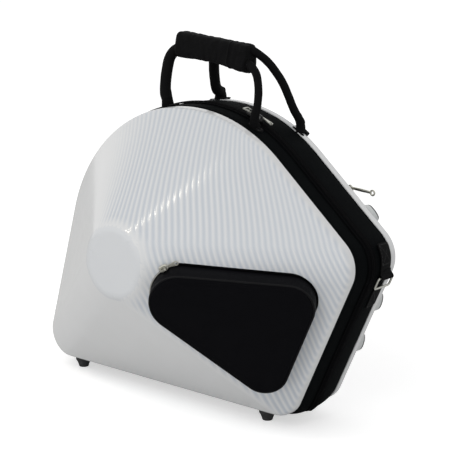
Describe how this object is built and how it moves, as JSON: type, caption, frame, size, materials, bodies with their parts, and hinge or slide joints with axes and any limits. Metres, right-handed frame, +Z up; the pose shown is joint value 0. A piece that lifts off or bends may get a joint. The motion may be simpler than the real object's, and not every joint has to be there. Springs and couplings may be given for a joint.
{
  "type": "french horn case",
  "caption": "Hard case for a fixed-bell french horn, standing on feet: white ribbed dome, black fabric band with zip, triangular front pocket, rear pocket, joined carry handles.",
  "frame": {"origin": "centre of the bounding box in X and Y, on the floor plane under the feet", "axes": "+X towards the pointed right end of the case, -Y out through the domed front, +Z up through the carrying handle"},
  "size_m": [0.5828, 0.348, 0.5416],
  "materials": {
    "white_shell": "gloss",
    "black_fabric": "matte",
    "black_webbing": "matte",
    "black_rubber": "satin",
    "silver_metal": "polished",
    "black_metal": "satin",
    "grey_plush": "matte",
    "zip_tape": "matte"
  },
  "bodies": {
    "base": {"back_shell": "white_shell", "back_band": "black_fabric", "base_liner": "grey_plush", "hinge_tape_back": "black_webbing", "zip_back": "zip_tape", "back_handle_tab_left": "black_webbing", "back_handle_tab_right": "black_webbing", "back_foot_left": "black_rubber", "back_foot_screw_left": "silver_metal", "back_foot_right": "black_rubber", "back_foot_screw_right": "silver_metal", "back_rest_right_low": "white_shell", "back_rest_pad_right_low": "black_rubber", "back_rest_right_mid": "white_shell", "back_rest_pad_right_mid": "black_rubber", "back_rest_right_high": "white_shell", "back_rest_pad_right_high": "black_rubber", "back_rest_left_low": "white_shell", "back_rest_pad_left_low": "black_rubber", "right_strap_tab": "black_webbing", "right_strap_patch": "black_webbing", "left_strap_tab": "black_webbing", "left_strap_patch": "black_webbing", "base_bed": "grey_plush", "accessory_box": "grey_plush", "horn_strap": "black_webbing"},
    "lid": {"front_shell": "white_shell", "front_band": "black_fabric", "lid_liner": "grey_plush", "hinge_tape_front": "black_webbing", "zip_front": "zip_tape", "front_handle_tab_left": "black_webbing", "front_handle_tab_right": "black_webbing", "front_foot_left": "black_rubber", "front_foot_screw_left": "silver_metal", "front_foot_right": "black_rubber", "front_foot_screw_right": "silver_metal", "pocket_zip": "zip_tape", "pocket_slider": "silver_metal", "bell_cradle": "grey_plush"},
    "front_handle_loop": {"front_handle": "black_webbing", "grip_front": "black_fabric"},
    "back_handle_loop": {"back_handle": "black_webbing", "grip_back": "black_fabric"},
    "pocket_lid": {"pocket_cover": "black_fabric"},
    "pocket_pull": {"pocket_puller": "silver_metal"},
    "left_carriage": {"left_slider": "black_metal"},
    "left_pull": {"left_puller": "silver_metal"},
    "right_carriage": {"right_slider": "black_metal"},
    "right_pull": {"right_puller": "silver_metal"},
    "rear_lid": {"rear_pocket_cover": "black_fabric", "rear_slider": "silver_metal"},
    "rear_pull": {"rear_puller": "silver_metal"},
    "right_ring": {"right_strap_ring": "silver_metal"},
    "left_ring": {"left_strap_ring": "silver_metal"},
    "compartment_lid": {"box_lid": "grey_plush", "box_lid_tab": "black_webbing"},
    "strap_flap": {"horn_strap_flap": "black_webbing"}
  },
  "joints": [
    {"name": "lid_hinge", "type": "hinge", "parent": "base", "child": "lid", "pos_m": [-0.00293, 0.03795, 0.01178], "axis": [1, 0, 0], "range_deg": [0, 100]},
    {"name": "front_handle_lean", "type": "hinge", "parent": "lid", "child": "front_handle_loop", "pos_m": [0.09407, 0.01795, 0.43423], "axis": [0.9977, 0, -0.0677], "range_deg": [0, 70]},
    {"name": "back_handle_lean", "type": "hinge", "parent": "base", "child": "back_handle_loop", "pos_m": [0.11707, 0.09595, 0.42183], "axis": [-0.9814, 0, 0.1921], "range_deg": [0, 70]},
    {"name": "pocket_hinge", "type": "hinge", "parent": "lid", "child": "pocket_lid", "pos_m": [0.22045, -0.02659, 0.14914], "axis": [0.4044, 0, 0.9146], "range_deg": [0, 95]},
    {"name": "rear_pocket_hinge", "type": "hinge", "parent": "base", "child": "rear_lid", "pos_m": [-0.00293, 0.14625, 0.137], "axis": [-1, 0, 0], "range_deg": [0, 60]},
    {"name": "left_slider_run", "type": "hinge", "parent": "base", "child": "left_carriage", "pos_m": [-0.00293, 0.03795, 0.204], "axis": [0, -1, 0], "range_deg": [0, 88]},
    {"name": "right_slider_run", "type": "hinge", "parent": "base", "child": "right_carriage", "pos_m": [-0.00293, 0.03795, 0.204], "axis": [0, 1, 0], "range_deg": [0, 15]},
    {"name": "left_puller_swing", "type": "hinge", "parent": "left_carriage", "child": "left_pull", "pos_m": [0.07434, 0.03795, 0.43911], "axis": [0, 1, 0], "range_deg": [0, 150]},
    {"name": "right_puller_swing", "type": "hinge", "parent": "right_carriage", "child": "right_pull", "pos_m": [0.08896, 0.03795, 0.43379], "axis": [0, -1, 0], "range_deg": [0, 150]},
    {"name": "pocket_puller_swing", "type": "hinge", "parent": "lid", "child": "pocket_pull", "pos_m": [0.08125, -0.15643, 0.24902], "axis": [0.3046, 0.4496, -0.8397], "range_deg": [0, 150]},
    {"name": "rear_puller_swing", "type": "hinge", "parent": "rear_lid", "child": "rear_pull", "pos_m": [0.15725, 0.16495, 0.32242], "axis": [0, -1, 0], "range_deg": [-36, 100]},
    {"name": "right_ring_swing", "type": "hinge", "parent": "base", "child": "right_ring", "pos_m": [0.28703, 0.07095, 0.22996], "axis": [0, -1, 0], "range_deg": [0, 110]},
    {"name": "left_ring_swing", "type": "hinge", "parent": "base", "child": "left_ring", "pos_m": [-0.24613, 0.07095, 0.23558], "axis": [0, 1, 0], "range_deg": [0, 110]},
    {"name": "compartment_lid_hinge", "type": "hinge", "parent": "base", "child": "compartment_lid", "pos_m": [-0.13893, 0.05565, 0.061], "axis": [1, 0, 0], "range_deg": [0, 100]},
    {"name": "horn_strap_lift", "type": "hinge", "parent": "base", "child": "strap_flap", "pos_m": [0.09507, 0.05635, 0.247], "axis": [0, 0, 1], "range_deg": [0, 90]}
  ]
}
